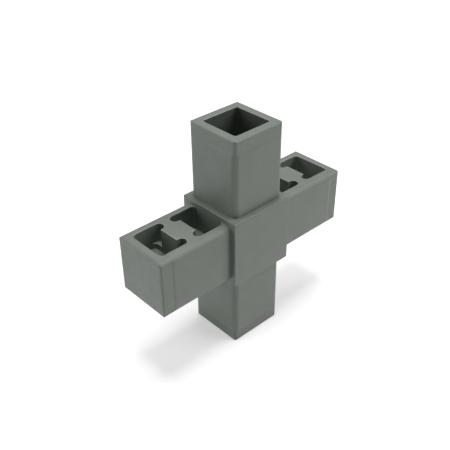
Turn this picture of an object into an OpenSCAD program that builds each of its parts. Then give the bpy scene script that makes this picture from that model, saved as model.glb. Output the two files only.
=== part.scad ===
// Cross connector for square tube: one plastic moulding.
// Four square legs stand out of a cubic hub in one plane, two along X and two along Z.
// A leg plugs into a tube, and the tube's end seats on the hub, flush with its faces.
// The Z legs are cored from their tips. The X legs have closed tips and are lightened
// by pockets from above and below, which leave a bridge across the middle of the leg.
// The origin is the centre of the hub.

/* [Tube that the legs fit] */
// Outside width of the tube, and so of the hub
tube_w = 25.4; // [22:0.1:36]
// Wall thickness of the tube
tube_wall = 1.65; // [1:0.05:2.4]
// Clearance between leg and tube on each side
fit_gap = 0.25; // [0.05:0.05:0.6]

/* [Hub] */
// Rounding of the hub's edges
hub_r = 0.4; // [0.1:0.05:1]

/* [Legs] */
// Length of a cored Z leg from the hub's face to its tip
cored_len = 27.5; // [20:0.1:60]
// Length of a closed X leg from the hub's face to its tip
closed_len = 28.6; // [22:0.1:60]
// Rounding of a leg's long edges
leg_r = 2; // [1:0.1:3]
// Length of the relieved lead-in at the tip
lead_len = 4.2; // [2.5:0.1:8]
// How far the lead-in's flats lie below the leg's flats
lead_step = 0.2; // [0.1:0.05:0.5]
// Length of the ramp between the two
ramp_len = 1.2; // [0.3:0.1:2]
// Rounding of a cored tip's rim
rim_r = 0.5; // [0.2:0.1:1]
// Rounding of the upright edges of a closed tip
end_r = 0.8; // [0.2:0.1:1.5]
// Rounding of the upper and lower edges of a closed tip
tip_r = 1.2; // [0.3:0.1:2]

/* [Cores of the Z legs] */
// Wall left around a core
core_wall = 3.3; // [2:0.1:5]
// Rounding of a core's upright edges
core_r = 1; // [0.3:0.1:2]
// Thickness of the middle web that closes the cores and the pockets
web_t = 3.6; // [1.5:0.1:6]

/* [Pockets of the X legs] */
// Wall left beside a pocket
side_wall = 3.4; // [2:0.1:4.5]
// Wall left at the closed tip
end_wall = 3; // [2:0.1:6]
// Length of the bridge between a leg's two pockets
bridge_len = 8; // [6:0.1:12]
// Width of the post in the middle of the bridge
post_w = 8; // [4:0.1:11]
// How far a pocket's ears reach into the bridge beside the post
ear_len = 2.4; // [1.8:0.1:2.8]
// Height of the ears' floor above the web
ear_step = 2.2; // [0.2:0.1:4]
// Rounding of a pocket's upright corners
pocket_r = 1.5; // [0.5:0.1:3]

/* [Hidden] */
$fn = 48;
over = 2;
moulding_grey = [0.45, 0.47, 0.45];
hub_face = tube_w / 2;
leg_w = tube_w - 2 * (tube_wall + fit_gap);
cored_tip = hub_face + cored_len;
closed_tip = hub_face + closed_len;
lead_w = leg_w - 2 * lead_step;
core_w = leg_w - 2 * core_wall;
pocket_w = leg_w - 2 * side_wall;
pocket_len = (closed_len - end_wall - bridge_len) / 2;
bridge_mid = hub_face + pocket_len + bridge_len / 2;
ear_w = (pocket_w - post_w) / 2;
ear_floor = web_t / 2 + ear_step;

// A square about the origin with rounded corners
module rounded_square(w, r) {
    square([w - 2 * r, w], center = true);
    square([w, w - 2 * r], center = true);
    for (x = [-1, 1], y = [-1, 1])
        translate([x * (w / 2 - r), y * (w / 2 - r)])
            circle(r);
}

// A square bar along Z about the origin, its long edges rounded
module bar(w, r, length) {
    linear_extrude(length, center = true)
        rounded_square(w, r);
}

// A leg seen square on, from the hub's centre along +X, with its ramp, lead-in and rounded tip
module leg_outline(tip, r) {
    lead_start = tip - lead_len;
    polygon([
        [0, -leg_w / 2],
        [lead_start - ramp_len, -leg_w / 2],
        [lead_start, -lead_w / 2],
        [tip - r, -lead_w / 2],
        [tip - r, lead_w / 2],
        [lead_start, lead_w / 2],
        [lead_start - ramp_len, leg_w / 2],
        [0, leg_w / 2]
    ]);
    translate([0, r - lead_w / 2])
        square([tip, lead_w - 2 * r]);
    for (y = [-1, 1])
        translate([tip - r, y * (lead_w / 2 - r)])
            circle(r);
}

// A leg along +X: plan_r rounds the tip's upright edges, side_r its upper and lower edges
module leg(tip, plan_r, side_r) {
    intersection() {
        rotate([0, 90, 0])
            bar(leg_w, leg_r, 2 * tip);
        linear_extrude(leg_w + over, center = true)
            leg_outline(tip, plan_r);
        rotate([90, 0, 0])
            linear_extrude(leg_w + over, center = true)
                leg_outline(tip, side_r);
    }
}

// The cube in the middle, every edge rounded
module hub() {
    intersection() {
        bar(tube_w, hub_r, tube_w);
        rotate([90, 0, 0])
            bar(tube_w, hub_r, tube_w);
        rotate([0, 90, 0])
            bar(tube_w, hub_r, tube_w);
    }
}

// The core of one Z leg, from the web up through the hub and the leg
module core() {
    translate([0, 0, web_t / 2])
        linear_extrude(cored_tip)
            rounded_square(core_w, core_r);
}

// A pocket at its floor, seen from above: the bridge's face is at x = 0 and the pocket lies along +X
module pocket_base() {
    translate([pocket_r, -pocket_w / 2])
        square([pocket_len - 2 * pocket_r, pocket_w]);
    translate([0, pocket_r - pocket_w / 2])
        square([pocket_len, pocket_w - 2 * pocket_r]);
    for (x = [pocket_r, pocket_len - pocket_r], y = [-1, 1])
        translate([x, y * (pocket_w / 2 - pocket_r)])
            circle(pocket_r);
}

// What a pocket has besides from the ears' floor up: square corners at the bridge, and two
// round-ended ears that reach into the bridge along both sides of the post
module pocket_ears() {
    for (y = [-1, 1])
        translate([ear_w / 2 - ear_len, y * (post_w + ear_w) / 2]) {
            circle(ear_w / 2);
            translate([0, -ear_w / 2])
                square([ear_len - ear_w / 2 + pocket_r, ear_w]);
        }
}

// A pocket with its ears, sunk from above
module pocket() {
    translate([0, 0, web_t / 2])
        linear_extrude(leg_w)
            pocket_base();
    translate([0, 0, ear_floor])
        linear_extrude(leg_w)
            pocket_ears();
}

// The inner and outer pocket of the +X leg, face to face across the bridge
module pocket_pair() {
    translate([bridge_mid, 0, 0])
        for (turn = [0, 180])
            rotate([0, 0, turn])
                translate([bridge_len / 2, 0, 0])
                    pocket();
}

// The whole moulding
module connector() {
    color(moulding_grey)
        difference() {
            union() {
                hub();
                for (turn = [0, 180])
                    rotate([0, turn, 0])
                        leg(closed_tip, end_r, tip_r);
                for (turn = [-90, 90])
                    rotate([0, turn, 0])
                        leg(cored_tip, rim_r, rim_r);
            }
            for (flip = [0, 180])
                rotate([flip, 0, 0]) {
                    core();
                    for (turn = [0, 180])
                        rotate([0, 0, turn])
                            pocket_pair();
                }
        }
}

connector();
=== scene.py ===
"""Cross connector for square tube: one grey plastic moulding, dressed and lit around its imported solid."""
import math

import bmesh
import bpy
from mathutils import Euler, Matrix, Vector


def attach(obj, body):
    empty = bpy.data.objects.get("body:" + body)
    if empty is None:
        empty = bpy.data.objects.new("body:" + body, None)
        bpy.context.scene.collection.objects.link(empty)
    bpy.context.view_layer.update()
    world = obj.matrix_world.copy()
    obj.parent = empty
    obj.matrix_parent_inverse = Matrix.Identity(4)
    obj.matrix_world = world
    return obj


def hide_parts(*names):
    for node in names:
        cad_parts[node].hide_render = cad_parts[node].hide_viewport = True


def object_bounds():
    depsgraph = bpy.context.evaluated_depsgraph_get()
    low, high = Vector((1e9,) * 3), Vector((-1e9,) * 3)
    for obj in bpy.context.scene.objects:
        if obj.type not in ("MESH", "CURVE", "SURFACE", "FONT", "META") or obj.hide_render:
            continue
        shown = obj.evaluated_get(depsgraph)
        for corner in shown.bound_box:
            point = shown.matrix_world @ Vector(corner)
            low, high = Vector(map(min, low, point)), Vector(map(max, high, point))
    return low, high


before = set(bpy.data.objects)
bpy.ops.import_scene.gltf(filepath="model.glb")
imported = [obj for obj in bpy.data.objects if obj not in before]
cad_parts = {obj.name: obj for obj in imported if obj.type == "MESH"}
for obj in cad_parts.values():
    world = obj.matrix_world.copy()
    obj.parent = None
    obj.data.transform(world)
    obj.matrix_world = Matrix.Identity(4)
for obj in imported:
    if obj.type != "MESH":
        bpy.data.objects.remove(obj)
cad_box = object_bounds()

MM = 0.001
NODE = "connector"

# Sizes of hub and legs in metres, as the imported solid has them
HUB = 25.4 * MM
HUB_ROUND = 0.4 * MM
LEG = 21.6 * MM
LEG_ROUND = 2.0 * MM
CORED_TIP = 40.2 * MM
CLOSED_TIP = 41.3 * MM
LEAD = 4.2 * MM
LEAD_STEP = 0.2 * MM
RAMP = 1.2 * MM
RIM_ROUND = 0.5 * MM
UPRIGHT_ROUND = 0.8 * MM
LEVEL_ROUND = 1.2 * MM

# Sizes of the hollows: cores along Z, and pockets in the X legs with a bridge and its post between them
WEB = 3.6 * MM
CORE = 15.0 * MM
CORE_ROUND = 1.0 * MM
POCKET = 14.8 * MM
POCKET_LEN = 8.8 * MM
POCKET_ROUND = 1.5 * MM
BRIDGE = 8.0 * MM
BRIDGE_MID = HUB / 2 + POCKET_LEN + BRIDGE / 2
POST = 8.0 * MM
EAR_REACH = 2.4 * MM
EAR_ROUND = (POCKET - POST) / 4
EAR_STEP = 2.2 * MM
EAR_FLOOR = WEB / 2 + EAR_STEP

# Fine roundings that only the dressed surface has
EDGE_BREAK = 0.22 * MM
FLOOR_FILLET = 0.3 * MM

# In how many steps each rounding and the legs' ramps are cut
HUB_STEPS = 4
LEG_STEPS = 12
TIP_STEPS = 6
RAMP_STEPS = 8
CORE_STEPS = 6
POCKET_STEPS = 8
EAR_STEPS = 10
FINE_STEPS = 3

# Points are settled on a grid of so many digits, a hair's breadth counts as no distance, and a point
# nearer to a cut than the last of these lies on it
GRID_DIGITS = 7
HAIR = 0.001 * MM
ON_THE_CUT = 1e-8

# Faces that turn by less than one angle are flat, and an edge that turns by more than the other is sharp
FLAT = math.radians(0.2)
SHARP = math.radians(40)

# From which cosine an edge runs along an axis, and a face looks along it
ALIGNED = 0.99
FACING = 0.9

# A slanting direction to sort by, in which no two places of the moulding are level but by chance
SLANT = Vector((1, 0.618, 0.367))

# The plastic's greys, the painted highlight's grey for the broken edges, the painted shade's grey for the
# cores' walls, and the name of the mesh attribute that marks the broken edges for the painted highlight
DARKER_GREY = (0.158, 0.180, 0.157, 1)
LIGHTER_GREY = (0.182, 0.204, 0.179, 1)
# Painted highlight: the lighter grey of the broken edges
EDGE_HIGHLIGHT_GREY = (0.326, 0.35, 0.325, 1)
# Painted shade: the darker grey of the cores' walls
CORE_SHADE_GREY = (0.114, 0.130, 0.114, 1)
HIGHLIT_EDGES = "painted_edge_highlight"

# The plastic's patterns: patches to the metre and detail of each
CLOUDS = (150, 3)
STREAKS = (900, 2)
SPECKLE = (1700, 2)
# Patches in which the painted edge highlight is stronger or weaker
HIGHLIGHT_PATCHING = (420, 2)
SATIN = (620, 3)
WAVES = (110, 1)
GRAIN = (2800, 2)

# The streaks are drawn out along their leg, and turn to the other leg's way within so much of the diagonal
STREAK_DRAW = 0.12
STREAK_TURN = 3 * MM

# What share each pattern has in the tone
CLOUD_SHARE = 0.6
STREAK_SHARE = 0.2
SPECKLE_SHARE = 0.2

# Which part of a pattern's range is spread over the whole of its effect, and how strongly the painted
# highlight lies on the edges
MOTTLING_RANGE = (0.3, 0.7)
HIGHLIGHT_PATCHING_RANGE = (0.35, 0.65)
HIGHLIGHT_SHARES = (0.45, 1.0)

# How far from the middle a core's painted shade reaches wholly, and how far at most: just behind its walls
CORE_REACH = (CORE / 2 + 0.02 * MM, CORE / 2 + 0.1 * MM)

# Roughness of the satin, how much smoother the edges under the painted highlight and the cores are, and the
# relief's heights
SATIN_ROUGHNESS = (0.43, 0.57)
HIGHLIT_EDGE_SMOOTHER = 0.1
CORE_SMOOTHER = 0.08
WAVE_HEIGHT = 0.04 * MM
GRAIN_HEIGHT = 0.03 * MM

# The floor's half width and its grey, and how its glow to the camera grows away from the middle
FLOOR_REACH = 3
FLOOR_GREY = (0.8, 0.8, 0.8, 1)
GLOW_DISTANCES = (0.15, 0.6)
GLOW_STRENGTHS = (0.45, 1.0)

# The surroundings' colour and brightness to the camera, and how bright they and the floor are in gloss
WHITE = (1, 1, 1, 1)
BACKDROP_SEEN = 1.0
BACKDROP_MIRRORED = 0.4
FLOOR_MIRRORED = 0.6

# The soft boxes: name, direction from the object, distance, width and power in watts
SOFT_BOXES = (
    ("left_softbox", (-0.8, 0.6, 0.25), 1.2, 0.9, 5.7),
    ("right_softbox", (0.6, -0.6, 0.6), 1.2, 0.9, 7.4),
    ("top_softbox", (0, 0, 1), 0.7, 0.25, 3.1),
    ("back_softbox", (0.3, 0.35, 0.9), 0.7, 0.3, 0.85),
)

# The camera at the photograph's viewing angle: its turn in degrees, its distance from the object's middle
# along its axis, its lens, and how far to the right of the middle and above it the axis passes
CAMERA_AZIMUTH = -42.42
CAMERA_ELEVATION = 34.29
CAMERA_ROLL = -0.72
CAMERA_DISTANCE = 240.1 * MM
CAMERA_LENS = 55.32
CAMERA_SENSOR = 36.0
CAMERA_NEAREST = 10 * MM
FRAME_OFFSET = (-3.93 * MM, 0.45 * MM)


def settle(bm):
    """Puts every point on the grid, so that flush faces are truly flush."""
    for v in bm.verts:
        v.co = Vector(round(c, GRID_DIGITS) for c in v.co)
    return bm


def box(low, high):
    """A box between two corners."""
    bm = bmesh.new()
    bmesh.ops.create_cube(bm, size=1)
    low, high = Vector(low), Vector(high)
    bmesh.ops.scale(bm, vec=high - low, verts=bm.verts)
    bmesh.ops.translate(bm, vec=(low + high) / 2, verts=bm.verts)
    return settle(bm)


def rounded(bm, picks, radius, steps):
    """Rounds the edges that the test picks."""
    bmesh.ops.bevel(
        bm, geom=[e for e in bm.edges if picks(e)], offset=radius, offset_type="OFFSET",
        affect="EDGES", segments=steps, profile=0.5, material=-1,
    )
    return bm


def every(edge):
    """A test that picks every edge."""
    return True


def along(axis):
    """A test for edges that run along an axis, 0, 1 or 2."""
    def test(edge):
        way = (edge.verts[1].co - edge.verts[0].co).normalized()
        return abs(way[axis]) > ALIGNED
    return test


def at(axis, place):
    """A test for edges that lie in a plane square to an axis."""
    def test(edge):
        return all(abs(v.co[axis] - place) < HAIR for v in edge.verts)
    return test


def both(first, second):
    """A test for edges that pass two tests."""
    return lambda edge: first(edge) and second(edge)


def cut_across(bm, axis, place):
    """Adds edges where a plane square to an axis crosses the shape."""
    point, normal = Vector(), Vector()
    point[axis], normal[axis] = place, 1
    bmesh.ops.bisect_plane(
        bm, geom=bm.verts[:] + bm.edges[:] + bm.faces[:], dist=ON_THE_CUT, plane_co=point, plane_no=normal,
    )


def merge(bm, distance):
    """Makes one of the points that lie within a distance."""
    bmesh.ops.remove_doubles(bm, verts=bm.verts, dist=distance)


def merge_flats(bm):
    """Makes one face of the faces that are flat to one another."""
    bmesh.ops.dissolve_limit(bm, angle_limit=FLAT, verts=bm.verts, edges=bm.edges)


def drop_slivers(bm):
    """Takes out edges and faces without any size."""
    bmesh.ops.dissolve_degenerate(bm, edges=bm.edges, dist=HAIR)


def made(bm, name):
    """The finished bmesh as an object at the origin."""
    mesh = bpy.data.meshes.new(name)
    bm.to_mesh(mesh)
    bm.free()
    piece = bpy.data.objects.new(name, mesh)
    bpy.context.scene.collection.objects.link(piece)
    return piece


def turned(bm, axis, degrees):
    """The shape turned about an axis through the origin."""
    turn = Matrix.Rotation(math.radians(degrees), 3, axis)
    bmesh.ops.rotate(bm, cent=(0, 0, 0), matrix=turn, verts=bm.verts)
    return settle(bm)


def joined(parts):
    """Several bmeshes in one, none of them touching another."""
    whole = bmesh.new()
    for part in parts:
        mesh = bpy.data.meshes.new("part")
        part.to_mesh(mesh)
        part.free()
        whole.from_mesh(mesh)
        bpy.data.meshes.remove(mesh)
    return whole


def smooth_step(t):
    """From 0 to 1 as t does, with a soft start and end."""
    t = min(max(t, 0.0), 1.0)
    return t * t * (3 - 2 * t)


def half_width(x, tip, tip_round):
    """Half a leg's width at a distance from the hub's centre: flat, ramp, lead-in, rounded tip."""
    half = LEG / 2 - LEAD_STEP * smooth_step((x - tip + LEAD + RAMP) / RAMP)
    past = x - (tip - tip_round)
    if past > 0:
        half -= tip_round - math.sqrt(max(tip_round ** 2 - past ** 2, 0.0))
    return half


def stations(tip, tip_round):
    """Where a leg is cut across, so that its ramp and its rounded tip come out smooth."""
    ramp = [tip - LEAD - RAMP + RAMP * k / RAMP_STEPS for k in range(RAMP_STEPS + 1)]
    turns = [math.radians(90 / TIP_STEPS * k) for k in range(TIP_STEPS)]
    return ramp + [tip - tip_round + tip_round * math.sin(turn) for turn in turns]


def leg_pair(tip, upright, level):
    """Two opposite legs along X as one bar through the hub. The upright and the level edges of its tips
    have their own rounding."""
    half = LEG / 2
    bm = rounded(box((-tip, -half, -half), (tip, half, half)), along(0), LEG_ROUND, LEG_STEPS)
    for x in sorted(set(stations(tip, upright) + stations(tip, level))):
        cut_across(bm, 0, x)
        cut_across(bm, 0, -x)
    for v in bm.verts:
        wide = half_width(abs(v.co.x), tip, upright)
        high = half_width(abs(v.co.x), tip, level)
        v.co.y = min(max(v.co.y, -wide), wide)
        v.co.z = min(max(v.co.z, -high), high)
    merge(bm, 2 * HAIR)
    drop_slivers(bm)
    return settle(bm)


def upper_pocket(face, far):
    """A pocket over the +X leg from the ears' floor up, between the bridge's face and its far wall, with
    the two round-ended ears that reach into the bridge beside the post."""
    way = 1 if far > face else -1
    x0, x1 = sorted((face, far))
    bm = box((x0, -POCKET / 2, EAR_FLOOR), (x1, POCKET / 2, LEG))
    cut_across(bm, 1, POST / 2)
    cut_across(bm, 1, -POST / 2)
    mouths = [
        f for f in bm.faces
        if f.normal.x * way < -FACING and abs(f.calc_center_median().y) > POST / 2
    ]
    grown = bmesh.ops.extrude_face_region(bm, geom=mouths)["geom"]
    bmesh.ops.delete(bm, geom=mouths, context="FACES_ONLY")
    ends = [v for v in grown if isinstance(v, bmesh.types.BMVert)]
    bmesh.ops.translate(bm, vec=(-way * EAR_REACH, 0, 0), verts=ends)
    merge_flats(bm)
    bmesh.ops.recalc_face_normals(bm, faces=bm.faces)

    # The ears' ends are rounded a hair less than wholly, and the sliver between two roundings is merged
    rounded(bm, both(along(2), at(0, face - way * EAR_REACH)), EAR_ROUND - HAIR, EAR_STEPS)
    rounded(bm, both(along(2), at(0, far)), POCKET_ROUND, POCKET_STEPS)
    merge(bm, 3 * HAIR)
    return settle(bm)


def filleted(bm):
    """A hollow's shape with the edges round its floor filleted."""
    return settle(rounded(bm, at(2, WEB / 2), FLOOR_FILLET, FINE_STEPS))


def lower_pocket(face, far):
    """The same pocket from its floor up to the ears' floor, all four corners rounded."""
    x0, x1 = sorted((face, far))
    bm = box((x0, -POCKET / 2, WEB / 2), (x1, POCKET / 2, EAR_FLOOR))
    return filleted(rounded(bm, along(2), POCKET_ROUND, POCKET_STEPS))


def pocket_cutters(make):
    """One level of the pockets of both legs, from above and from below."""
    inner = (BRIDGE_MID - BRIDGE / 2, HUB / 2)
    outer = (BRIDGE_MID + BRIDGE / 2, BRIDGE_MID + BRIDGE / 2 + POCKET_LEN)
    return [
        turned(turned(make(*place), "X", flip), "Z", turn)
        for place in (inner, outer) for flip in (0, 180) for turn in (0, 180)
    ]


def core_cutters():
    """The cores of both Z legs, down to the web."""
    half = CORE / 2
    cutters = []
    for flip in (0, 180):
        bm = box((-half, -half, WEB / 2), (half, half, 2 * CORED_TIP))
        bm = filleted(rounded(bm, along(2), CORE_ROUND, CORE_STEPS))
        cutters.append(turned(bm, "X", flip))
    return cutters


def combine(piece, other, operation):
    """Applies one boolean to the piece and removes the other object."""
    step = piece.modifiers.new(operation, "BOOLEAN")
    step.operation = operation
    step.solver = "EXACT"
    step.object = other
    bpy.context.view_layer.update()
    seen = piece.evaluated_get(bpy.context.evaluated_depsgraph_get())
    mesh = bpy.data.meshes.new_from_object(seen)
    piece.modifiers.remove(step)
    old = piece.data
    piece.data = mesh
    bpy.data.meshes.remove(old)
    spent = other.data
    bpy.data.objects.remove(other)
    bpy.data.meshes.remove(spent)


def put_in_order(bm):
    """Sorts points, edges and faces by their places. A boolean leaves them in an order that differs from
    run to run, and the merging of flat faces goes by that order."""
    bm.verts.sort(key=lambda v: v.co.dot(SLANT))
    bm.edges.sort(key=lambda e: (e.verts[0].co + e.verts[1].co).dot(SLANT))
    bm.faces.sort(key=lambda f: f.calc_center_median().dot(SLANT))


def crisp(edge):
    """A convex edge of a hollow, which the mould leaves nearly sharp. None of the hollows is wider along Y
    than a core, and every sharp edge of the outside ends farther out."""
    if len(edge.link_faces) != 2 or max(abs(v.co.y) for v in edge.verts) > CORE / 2 + EDGE_BREAK:
        return False
    return edge.is_convex and edge.calc_face_angle(0) > SHARP


def break_edges(bm):
    """Breaks the crisp edges, and marks the narrow faces that this leaves for the painted edge highlight.
    """
    edge_highlight = bm.faces.layers.float.new(HIGHLIT_EDGES)
    broken = bmesh.ops.bevel(
        bm, geom=[e for e in bm.edges if crisp(e)], offset=EDGE_BREAK, offset_type="OFFSET",
        affect="EDGES", segments=FINE_STEPS, profile=0.5, material=-1,
    )
    for f in broken["faces"]:
        f[edge_highlight] = 1.0


def hollowed_body():
    """Hub and legs in one, with the cores and both levels of the pockets cut out."""
    half = HUB / 2
    piece = made(rounded(box((-half,) * 3, (half,) * 3), every, HUB_ROUND, HUB_STEPS), "moulding")
    closed = leg_pair(CLOSED_TIP, UPRIGHT_ROUND, LEVEL_ROUND)
    cored = turned(leg_pair(CORED_TIP, RIM_ROUND, RIM_ROUND), "Y", 90)
    combine(piece, made(closed, "closed_legs"), "UNION")
    combine(piece, made(cored, "cored_legs"), "UNION")
    hollows = joined(pocket_cutters(upper_pocket) + core_cutters())
    combine(piece, made(hollows, "hollows"), "DIFFERENCE")
    combine(piece, made(joined(pocket_cutters(lower_pocket)), "low_hollows"), "DIFFERENCE")
    return piece


def moulding():
    """The whole moulding, with the mesh cleaned, the hollows' crisp edges broken and the flats shaded
    evenly."""
    piece = hollowed_body()
    bm = bmesh.new()
    bm.from_mesh(piece.data)
    merge(bm, 2 * HAIR)
    put_in_order(bm)
    merge_flats(bm)
    break_edges(bm)
    merge(bm, 2 * HAIR)
    drop_slivers(bm)
    bm.to_mesh(piece.data)
    print("moulding:", len(bm.verts), "points,", len(bm.faces), "faces,",
          sum(len(e.link_faces) != 2 for e in bm.edges), "open edges")
    bm.free()
    piece.data.shade_smooth()
    piece.data.set_sharp_from_angle(angle=SHARP)
    even = piece.modifiers.new("even_flats", "WEIGHTED_NORMAL")
    even.mode = "FACE_AREA"
    even.keep_sharp = True
    return piece


class Tree:
    """The nodes of a material or a world, emptied, with short ways to add and link new ones."""

    # Where the Mix node keeps its factor, its two inputs and its output
    MIX_SOCKETS = {"FLOAT": ((0, 2, 3), 0), "RGBA": ((0, 6, 7), 2)}

    def __init__(self, owner):
        owner.use_nodes = True
        self.nodes, self.links = owner.node_tree.nodes, owner.node_tree.links
        self.nodes.clear()

    def feed(self, socket, value):
        """Gives a socket a value of its own, or another node's output."""
        if isinstance(value, bpy.types.NodeSocket):
            self.links.new(value, socket)
        else:
            socket.default_value = value

    def add(self, kind, inputs=()):
        """A new node, with values or outputs for some of its inputs by name."""
        node = self.nodes.new(kind)
        for name, value in dict(inputs).items():
            self.feed(node.inputs[name], value)
        return node

    def maths(self, operation, *values):
        """What an operation makes of two or three values."""
        node = self.nodes.new("ShaderNodeMath")
        node.operation = operation
        for socket, value in zip(node.inputs, values):
            self.feed(socket, value)
        return node.outputs["Value"]

    def ranged(self, value, source, target):
        """A value taken from one range over into another, and held at its ends."""
        return self.add("ShaderNodeMapRange", {
            "Value": value, "From Min": source[0], "From Max": source[1],
            "To Min": target[0], "To Max": target[1],
        }).outputs["Result"]

    def blended(self, kind, factor, first, second):
        """One number or colour over into another."""
        node = self.nodes.new("ShaderNodeMix")
        node.data_type = kind
        places, result = self.MIX_SOCKETS[kind]
        for place, value in zip(places, (factor, first, second)):
            self.feed(node.inputs[place], value)
        return node.outputs[result]

    def noise(self, pattern, where):
        """Cloudy noise between 0 and 1, in the pattern's patches to the metre and detail."""
        per_metre, detail = pattern
        return self.add("ShaderNodeTexNoise", {
            "Vector": where, "Scale": per_metre, "Detail": detail,
        }).outputs["Fac"]

    def stretched(self, where, scale):
        """Coordinates scaled by axis: below 1, they draw a pattern out along that axis."""
        return self.add("ShaderNodeMapping", {"Vector": where, "Scale": scale}).outputs["Vector"]

    def bump(self, height, distance):
        """A relief as high as the distance, in metres."""
        return self.add("ShaderNodeBump", {"Strength": 1, "Distance": distance, "Height": height})


def moulded_plastic():
    """Grey glass-filled plastic: satin, faintly mottled, streaked along the legs as it flowed into the
    mould, with a fine grain, a painted highlight on the broken edges and painted shade on the cores' walls."""
    mat = bpy.data.materials.new("moulded_plastic")
    tree = Tree(mat)
    shader = tree.add("ShaderNodeBsdfPrincipled")
    tree.add("ShaderNodeOutputMaterial", {"Surface": shader.outputs["BSDF"]})
    place = tree.add("ShaderNodeTexCoord").outputs["Object"]
    split = tree.add("ShaderNodeSeparateXYZ", {"Vector": place})
    reach_x, reach_y, reach_z = (tree.maths("ABSOLUTE", split.outputs[axis], 0.0) for axis in "XYZ")

    # The plastic flows along each leg: its streaks run along X in the closed legs and along Z in the cored
    in_closed = tree.ranged(
        tree.maths("SUBTRACT", reach_x, reach_z), (-STREAK_TURN, STREAK_TURN), (0.0, 1.0),
    )
    along_x = tree.noise(STREAKS, tree.stretched(place, (STREAK_DRAW, 1, 1)))
    along_z = tree.noise(STREAKS, tree.stretched(place, (1, 1, STREAK_DRAW)))
    streaks = tree.maths("MULTIPLY", tree.blended("FLOAT", in_closed, along_z, along_x), STREAK_SHARE)

    # Tone: broad clouds, a fine speckle and the streaks, between a darker and a lighter grey
    clouds = tree.maths("MULTIPLY", tree.noise(CLOUDS, place), CLOUD_SHARE)
    speckle = tree.maths("MULTIPLY", tree.noise(SPECKLE, place), SPECKLE_SHARE)
    tone = tree.maths("ADD", tree.maths("ADD", clouds, speckle), streaks)
    grey = tree.blended("RGBA", tree.ranged(tone, MOTTLING_RANGE, (0.0, 1.0)), DARKER_GREY, LIGHTER_GREY)

    # Painted highlight: the broken edges are lighter in patches. Painted shade: the cores' walls are darker
    edge_highlight = tree.add("ShaderNodeAttribute")
    edge_highlight.attribute_name = HIGHLIT_EDGES
    patches = tree.ranged(tree.noise(HIGHLIGHT_PATCHING, place), HIGHLIGHT_PATCHING_RANGE, HIGHLIGHT_SHARES)
    edge_highlight_mask = tree.maths("MULTIPLY", edge_highlight.outputs["Fac"], patches)
    core_shade_and_gloss = tree.ranged(tree.maths("MAXIMUM", reach_x, reach_y), CORE_REACH, (1.0, 0.0))
    highlit = tree.blended("RGBA", edge_highlight_mask, grey, EDGE_HIGHLIGHT_GREY)
    tree.feed(shader.inputs["Base Color"], tree.blended("RGBA", core_shade_and_gloss, highlit, CORE_SHADE_GREY))

    # Gloss: satin that varies in small patches, smoother on the edges under the painted highlight and on
    # the cores' walls
    satin = tree.ranged(tree.noise(SATIN, place), MOTTLING_RANGE, SATIN_ROUGHNESS)
    by_highlight = tree.maths("MULTIPLY", edge_highlight_mask, HIGHLIT_EDGE_SMOOTHER)
    by_core = tree.maths("MULTIPLY", core_shade_and_gloss, CORE_SMOOTHER)
    smoother = tree.maths("ADD", by_highlight, by_core)
    tree.feed(shader.inputs["Roughness"], tree.maths("SUBTRACT", satin, smoother))

    # Relief: a slight waviness of the flats where the plastic shrank, and the mould's own grain
    waves = tree.bump(tree.noise(WAVES, place), WAVE_HEIGHT)
    grain = tree.bump(tree.noise(GRAIN, place), GRAIN_HEIGHT)
    tree.feed(grain.inputs["Normal"], waves.outputs["Normal"])
    tree.feed(shader.inputs["Normal"], grain.outputs["Normal"])
    return mat


def seen_strength(tree, direct, mirrored):
    """A strength for rays from the camera and one for mirrored rays and rays through glass. It is nought
    for the light that falls on the object."""
    path = tree.add("ShaderNodeLightPath")
    either = tree.maths("MAXIMUM", path.outputs["Is Glossy Ray"], path.outputs["Is Transmission Ray"])
    dimmed = tree.maths("MULTIPLY", either, mirrored)
    return tree.maths("MULTIPLY_ADD", path.outputs["Is Camera Ray"], direct, dimmed)


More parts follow.
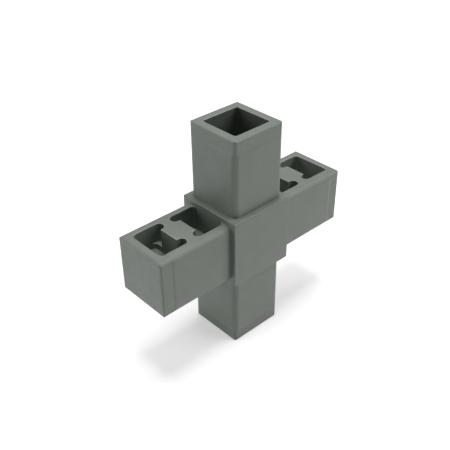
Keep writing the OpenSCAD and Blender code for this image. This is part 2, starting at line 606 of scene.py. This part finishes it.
def floor():
    """A pale floor under the foot, which shows white to the camera and keeps the shadow. Away from the
    object, where the lamps no longer reach it, it turns as white as the surroundings."""
    bm = bmesh.new()
    bmesh.ops.create_grid(bm, x_segments=1, y_segments=1, size=FLOOR_REACH)
    bmesh.ops.translate(bm, vec=(0, 0, cad_box[0].z), verts=bm.verts)
    ground = made(bm, "floor")
    mat = bpy.data.materials.new("pale_floor")
    tree = Tree(mat)
    away = tree.add("ShaderNodeVectorMath")
    away.operation = "LENGTH"
    tree.feed(away.inputs[0], tree.add("ShaderNodeTexCoord").outputs["Object"])
    whitened = tree.ranged(away.outputs["Value"], GLOW_DISTANCES, GLOW_STRENGTHS)
    diffuse = tree.add("ShaderNodeBsdfDiffuse", {"Color": FLOOR_GREY})
    glow = tree.add("ShaderNodeEmission", {"Strength": seen_strength(tree, whitened, FLOOR_MIRRORED)})
    raised = tree.add("ShaderNodeAddShader")
    tree.feed(raised.inputs[0], diffuse.outputs["BSDF"])
    tree.feed(raised.inputs[1], glow.outputs["Emission"])
    tree.add("ShaderNodeOutputMaterial", {"Surface": raised.outputs["Shader"]})
    ground.data.materials.append(mat)
    return ground


def softbox(name, direction, distance, width, power):
    """A square soft box that faces the object."""
    lamp = bpy.data.lights.new(name, "AREA")
    lamp.shape = "SQUARE"
    lamp.size = width
    lamp.energy = power
    holder = bpy.data.objects.new(name, lamp)
    way = Vector(direction).normalized()
    holder.location = way * distance
    holder.rotation_euler = way.to_track_quat("Z", "Y").to_euler()
    bpy.context.scene.collection.objects.link(holder)


def studio():
    """The soft boxes, and surroundings that look white without lighting the object."""
    for values in SOFT_BOXES:
        softbox(*values)
    world = bpy.data.worlds.new("studio")
    bpy.context.scene.world = world
    tree = Tree(world)
    strength = seen_strength(tree, BACKDROP_SEEN, BACKDROP_MIRRORED)
    backdrop = tree.add("ShaderNodeBackground", {"Color": WHITE, "Strength": strength})
    tree.add("ShaderNodeOutputWorld", {"Surface": backdrop.outputs["Background"]})


def photo_camera():
    """The camera at the photograph's viewing angle, without any shift."""
    data = bpy.data.cameras.new("photo_camera")
    data.sensor_width = CAMERA_SENSOR
    data.lens = CAMERA_LENS
    data.clip_start = CAMERA_NEAREST
    holder = bpy.data.objects.new("photo_camera", data)
    turn = Euler((math.radians(90 - CAMERA_ELEVATION), 0, math.radians(CAMERA_AZIMUTH)))
    facing = turn.to_matrix() @ Matrix.Rotation(math.radians(CAMERA_ROLL), 3, "Z")
    holder.rotation_euler = facing.to_euler()
    right, up, back = facing.col
    holder.location = right * FRAME_OFFSET[0] + up * FRAME_OFFSET[1] + back * CAMERA_DISTANCE
    bpy.context.scene.collection.objects.link(holder)
    bpy.context.scene.camera = holder


piece = moulding()
piece.data.materials.append(moulded_plastic())
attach(piece, "root")
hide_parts(NODE)
floor()
studio()
photo_camera()
bpy.context.scene.view_settings.view_transform = "Standard"
